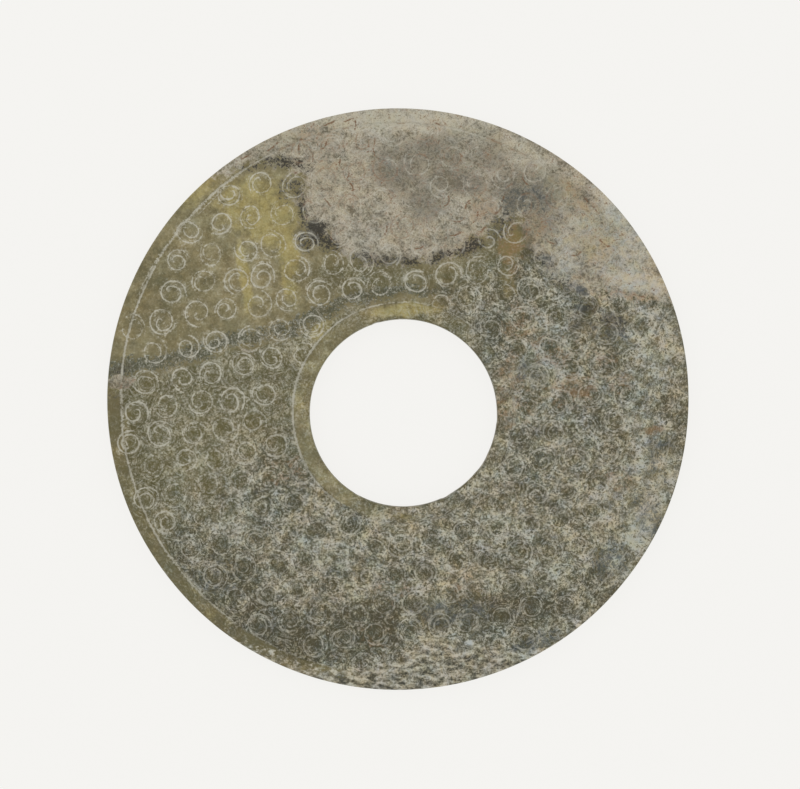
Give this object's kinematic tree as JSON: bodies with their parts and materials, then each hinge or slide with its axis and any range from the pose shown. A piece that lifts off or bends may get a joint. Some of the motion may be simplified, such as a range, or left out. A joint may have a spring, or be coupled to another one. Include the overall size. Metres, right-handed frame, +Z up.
{
  "type": "jade bi disc",
  "caption": "Thin flat jade disc with a round central hole, plain bands at rim and hole, and a low-relief field of curled grains.",
  "frame": {"origin": "on the surface the disc lies on, under the middle of its outline", "axes": "+Z up through the thickness, +Y towards the top of the disc as pictured, +X to its right"},
  "size_m": [0.15, 0.15, 0.0045],
  "materials": {
    "jade": "polished nephrite, worn satin, olive green with a grey-beige altered zone"
  },
  "bodies": {
    "root": {"jade_bi_disc": "jade"}
  },
  "joints": []
}
